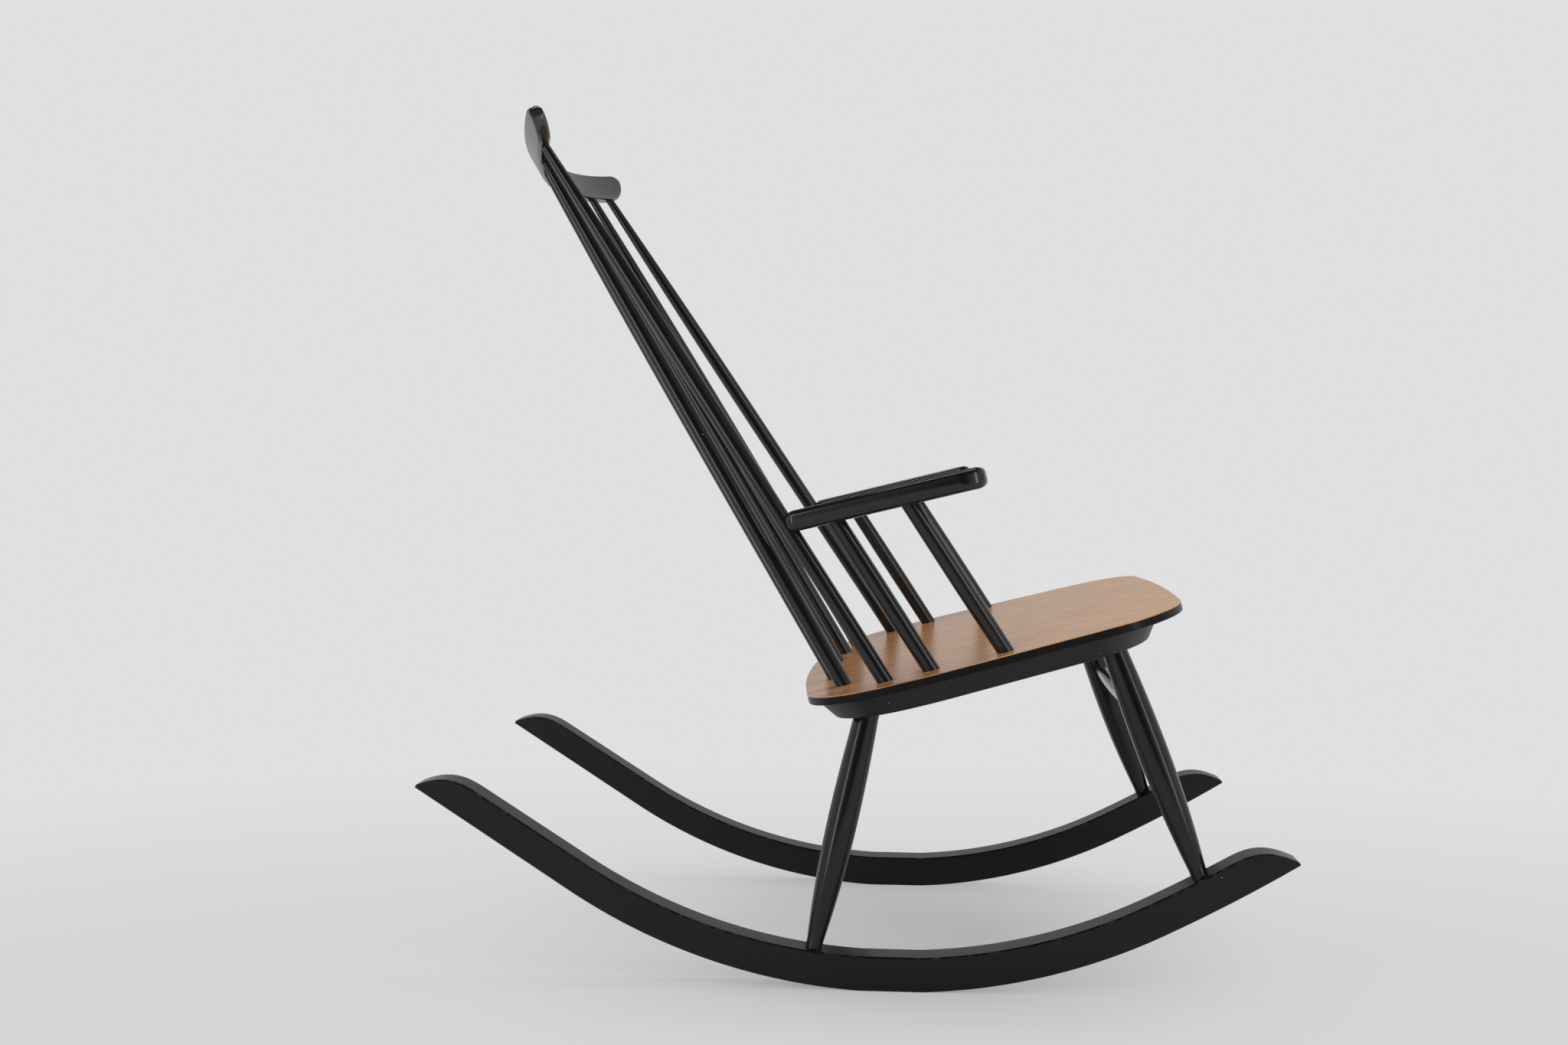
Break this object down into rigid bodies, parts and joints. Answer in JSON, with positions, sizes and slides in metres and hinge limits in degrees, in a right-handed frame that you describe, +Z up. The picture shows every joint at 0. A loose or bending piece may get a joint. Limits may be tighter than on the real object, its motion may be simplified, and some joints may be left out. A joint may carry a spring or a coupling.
{
  "type": "rocking chair",
  "caption": "Spindle-back rocking armchair: tilted veneered seat, turned legs with stretchers, short sloping arms on posts, bent crest rail, long curved rockers.",
  "frame": {"origin": "on the floor, below the middle of the rockers, in the chair's middle plane", "axes": "+Z up; the chair faces -Y; +X to the sitter's left"},
  "size_m": [0.5946, 0.948, 0.9516],
  "materials": {
    "black_lacquer": "satin black lacquer on turned and bent hardwood",
    "black_edge_board": "plywood board with black lacquered edge",
    "teak_veneer": "satin teak veneer, grain front to back",
    "plain_beech": "bare beech dowel, hidden"
  },
  "bodies": {
    "root": {"arm_dowel_left": "plain_beech", "arm_dowel_right": "plain_beech", "arm_post_front_left": "black_lacquer", "arm_post_front_right": "black_lacquer", "arm_post_rear_left": "black_lacquer", "arm_post_rear_right": "black_lacquer", "armrest_left": "black_lacquer", "armrest_right": "black_lacquer", "back_spindle_1": "black_lacquer", "back_spindle_2": "black_lacquer", "back_spindle_3": "black_lacquer", "back_spindle_4": "black_lacquer", "back_spindle_5": "black_lacquer", "back_spindle_6": "black_lacquer", "back_spindle_7": "black_lacquer", "back_spindle_8": "black_lacquer", "crest_rail": "black_lacquer", "leg_front_left": "black_lacquer", "leg_front_right": "black_lacquer", "leg_rear_left": "black_lacquer", "leg_rear_right": "black_lacquer", "rocker_left": "black_lacquer", "rocker_right": "black_lacquer", "seat_base": "black_lacquer", "seat_board": "black_edge_board", "seat_veneer": "teak_veneer", "stretcher_front": "black_lacquer", "stretcher_rear": "black_lacquer"}
  },
  "joints": []
}
